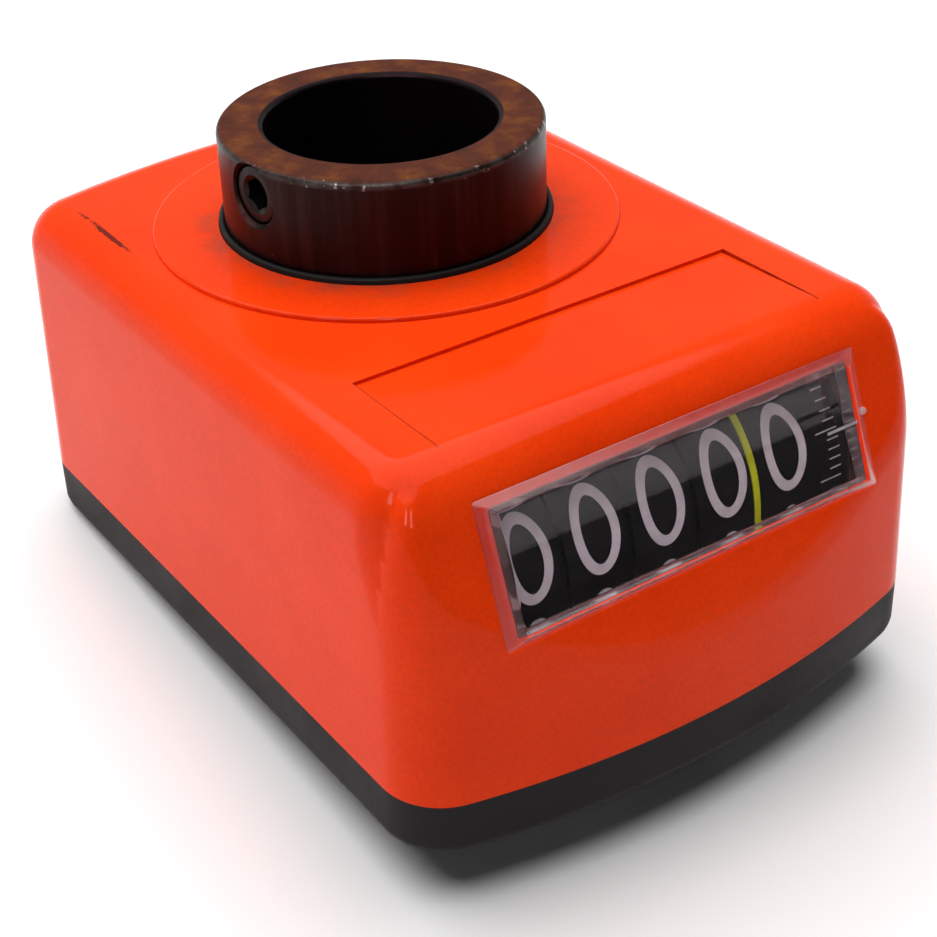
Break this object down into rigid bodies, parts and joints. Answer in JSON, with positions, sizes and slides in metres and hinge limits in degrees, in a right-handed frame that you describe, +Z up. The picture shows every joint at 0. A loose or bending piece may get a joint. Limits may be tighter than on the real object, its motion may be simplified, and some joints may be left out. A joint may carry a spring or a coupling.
{
  "type": "mechanical position indicator",
  "caption": "Box-shaped mechanical position indicator with a hollow shaft through it and a sloping window over a roller counter that the shaft turns through gears.",
  "frame": {"origin": "on the axis of the hollow shaft's bore, in the plane of the base's underside", "axes": "+Z up the shaft towards the collar, -Y towards the counter window, +X to the right of its reader"},
  "size_m": [0.0514, 0.0724, 0.0442],
  "materials": {
    "housing_plastic": "moulded orange plastic with a fine grain and a soft gloss",
    "base_plastic": "moulded black plastic, satin",
    "window_plastic": "clear bevelled acrylic",
    "burnished_steel": "turned and burnished steel with brown rust on the end face",
    "black_steel": "blackened steel",
    "seal_rubber": "black rubber",
    "bush_bronze": "sintered bronze",
    "gear_plastic": "natural acetal",
    "bright_steel": "ground steel",
    "frame_plastic": "moulded dark plastic",
    "wheel_plastic": "black plastic with pale printed figures",
    "marker_plastic": "yellow-green plastic",
    "screw_steel": "zinc-plated steel",
    "pin_steel": "turned steel"
  },
  "bodies": {
    "housing_group": {"housing": "housing_plastic", "base_plate": "base_plastic", "window": "window_plastic", "shaft_seal": "seal_rubber", "upper_bush": "bush_bronze", "lower_bush": "bush_bronze", "counter_frame": "frame_plastic", "gear_bridge": "frame_plastic", "idler_stud": "bright_steel", "pinion_carrier_1": "marker_plastic", "pinion_carrier_2": "wheel_plastic", "pinion_carrier_3": "wheel_plastic", "pinion_carrier_4": "wheel_plastic", "base_screws": "screw_steel", "frame_screws": "screw_steel", "torque_pin": "pin_steel"},
    "shaft": {"hollow_shaft": "burnished_steel", "set_screw": "black_steel", "retaining_ring": "black_steel", "drive_gear": "gear_plastic"},
    "cross": {"cross_shaft": "bright_steel", "drive_pinion": "gear_plastic", "cross_gear": "gear_plastic"},
    "idler": {"idler_gear": "gear_plastic"},
    "units": {"units_wheel": "wheel_plastic", "counter_axle": "bright_steel", "counter_gear": "gear_plastic"},
    "tens": {"tens_wheel": "wheel_plastic"},
    "hundreds": {"hundreds_wheel": "wheel_plastic"},
    "thousands": {"thousands_wheel": "wheel_plastic"},
    "ten_thousands": {"ten_thousands_wheel": "wheel_plastic"},
    "carry_1": {"transfer_pinion_1": "gear_plastic"},
    "carry_2": {"transfer_pinion_2": "gear_plastic"},
    "carry_3": {"transfer_pinion_3": "gear_plastic"},
    "carry_4": {"transfer_pinion_4": "gear_plastic"}
  },
  "joints": [
    {"name": "shaft_turn", "type": "hinge", "parent": "housing_group", "child": "shaft", "pos_m": [0, 0, 0], "axis": [0, 0, 1], "continuous": true},
    {"name": "cross_turn", "type": "hinge", "parent": "housing_group", "child": "cross", "pos_m": [0.018, 0, 0.01101], "axis": [1, 0, 0], "continuous": true},
    {"name": "idler_turn", "type": "hinge", "parent": "housing_group", "child": "idler", "pos_m": [0.02, -0.01254, 0.018], "axis": [1, 0, 0], "continuous": true},
    {"name": "units_turn", "type": "hinge", "parent": "housing_group", "child": "units", "pos_m": [0, -0.0268, 0.0164], "axis": [1, 0, 0], "continuous": true},
    {"name": "tens_turn", "type": "hinge", "parent": "housing_group", "child": "tens", "pos_m": [0, -0.0268, 0.0164], "axis": [1, 0, 0], "continuous": true},
    {"name": "hundreds_turn", "type": "hinge", "parent": "housing_group", "child": "hundreds", "pos_m": [0, -0.0268, 0.0164], "axis": [1, 0, 0], "continuous": true},
    {"name": "thousands_turn", "type": "hinge", "parent": "housing_group", "child": "thousands", "pos_m": [0, -0.0268, 0.0164], "axis": [1, 0, 0], "continuous": true},
    {"name": "ten_thousands_turn", "type": "hinge", "parent": "housing_group", "child": "ten_thousands", "pos_m": [0, -0.0268, 0.0164], "axis": [1, 0, 0], "continuous": true},
    {"name": "carry_1_turn", "type": "hinge", "parent": "housing_group", "child": "carry_1", "pos_m": [0, -0.01989, 0.0164], "axis": [1, 0, 0], "continuous": true},
    {"name": "carry_2_turn", "type": "hinge", "parent": "housing_group", "child": "carry_2", "pos_m": [0, -0.01989, 0.0164], "axis": [1, 0, 0], "continuous": true},
    {"name": "carry_3_turn", "type": "hinge", "parent": "housing_group", "child": "carry_3", "pos_m": [0, -0.01989, 0.0164], "axis": [1, 0, 0], "continuous": true},
    {"name": "carry_4_turn", "type": "hinge", "parent": "housing_group", "child": "carry_4", "pos_m": [0, -0.01989, 0.0164], "axis": [1, 0, 0], "continuous": true}
  ],
  "couplings": [
    {"joint": "cross_turn", "follows": "shaft_turn", "ratio": 4},
    {"joint": "idler_turn", "follows": "shaft_turn", "ratio": -3.2},
    {"joint": "units_turn", "follows": "shaft_turn", "ratio": 4},
    {"joint": "tens_turn", "follows": "shaft_turn", "ratio": 0.4},
    {"joint": "hundreds_turn", "follows": "shaft_turn", "ratio": 0.04},
    {"joint": "thousands_turn", "follows": "shaft_turn", "ratio": 0.004},
    {"joint": "ten_thousands_turn", "follows": "shaft_turn", "ratio": 0.0004},
    {"joint": "carry_1_turn", "follows": "shaft_turn", "ratio": 1.3333},
    {"joint": "carry_2_turn", "follows": "shaft_turn", "ratio": 0.13333},
    {"joint": "carry_3_turn", "follows": "shaft_turn", "ratio": 0.013333},
    {"joint": "carry_4_turn", "follows": "shaft_turn", "ratio": 0.0013333}
  ]
}
